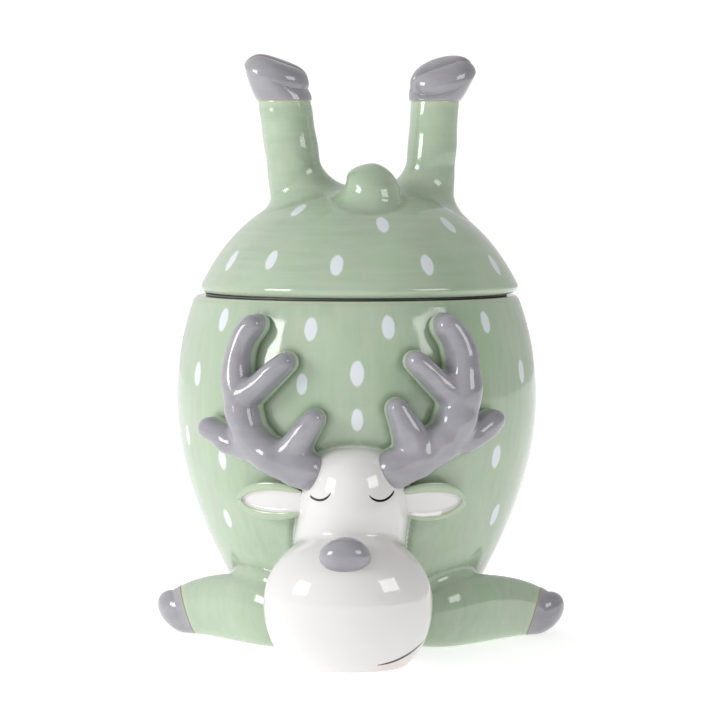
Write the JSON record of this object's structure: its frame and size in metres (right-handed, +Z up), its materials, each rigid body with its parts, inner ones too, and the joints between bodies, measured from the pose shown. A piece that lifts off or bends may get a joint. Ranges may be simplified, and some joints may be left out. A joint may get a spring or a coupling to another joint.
{
  "type": "lidded figural jar",
  "caption": "Glazed ceramic storage jar shaped as a tumbled reindeer, egg-shaped body on a foot ring, with a lift-off domed lid that carries the hind legs and tail.",
  "frame": {"origin": "centre of the foot ring, on the table", "axes": "+Z up, the face looks towards -Y, +X is to the right of someone facing it"},
  "size_m": [0.1984, 0.2162, 0.2803],
  "materials": {
    "sage_glaze": "glossy sage-green glaze, brushed on, with white spots",
    "white_glaze": "glossy white glaze",
    "grey_glaze": "glossy grey glaze",
    "clear_silicone": "milky translucent silicone"
  },
  "bodies": {
    "jar": {"jar_shell": "sage_glaze", "head": "white_glaze", "nose": "grey_glaze", "antler_left": "grey_glaze", "antler_right": "grey_glaze", "ear_left": "sage_glaze", "ear_right": "sage_glaze", "foreleg_left": "sage_glaze", "foreleg_right": "sage_glaze", "forehoof_left": "grey_glaze", "forehoof_right": "grey_glaze"},
    "seal": {"seal_ring": "clear_silicone"},
    "lid": {"lid_shell": "sage_glaze", "tail": "sage_glaze", "hind_leg_left": "sage_glaze", "hind_leg_right": "sage_glaze", "hind_hoof_left": "grey_glaze", "hind_hoof_right": "grey_glaze"}
  },
  "joints": [
    {"name": "lid_lift", "type": "slide", "parent": "jar", "child": "seal", "axis": [0, 0, 1], "range_m": [0, 0.16]},
    {"name": "lid_turn", "type": "hinge", "parent": "seal", "child": "lid", "pos_m": [0, 0, 0.165], "axis": [0, 0, 1], "continuous": true}
  ]
}
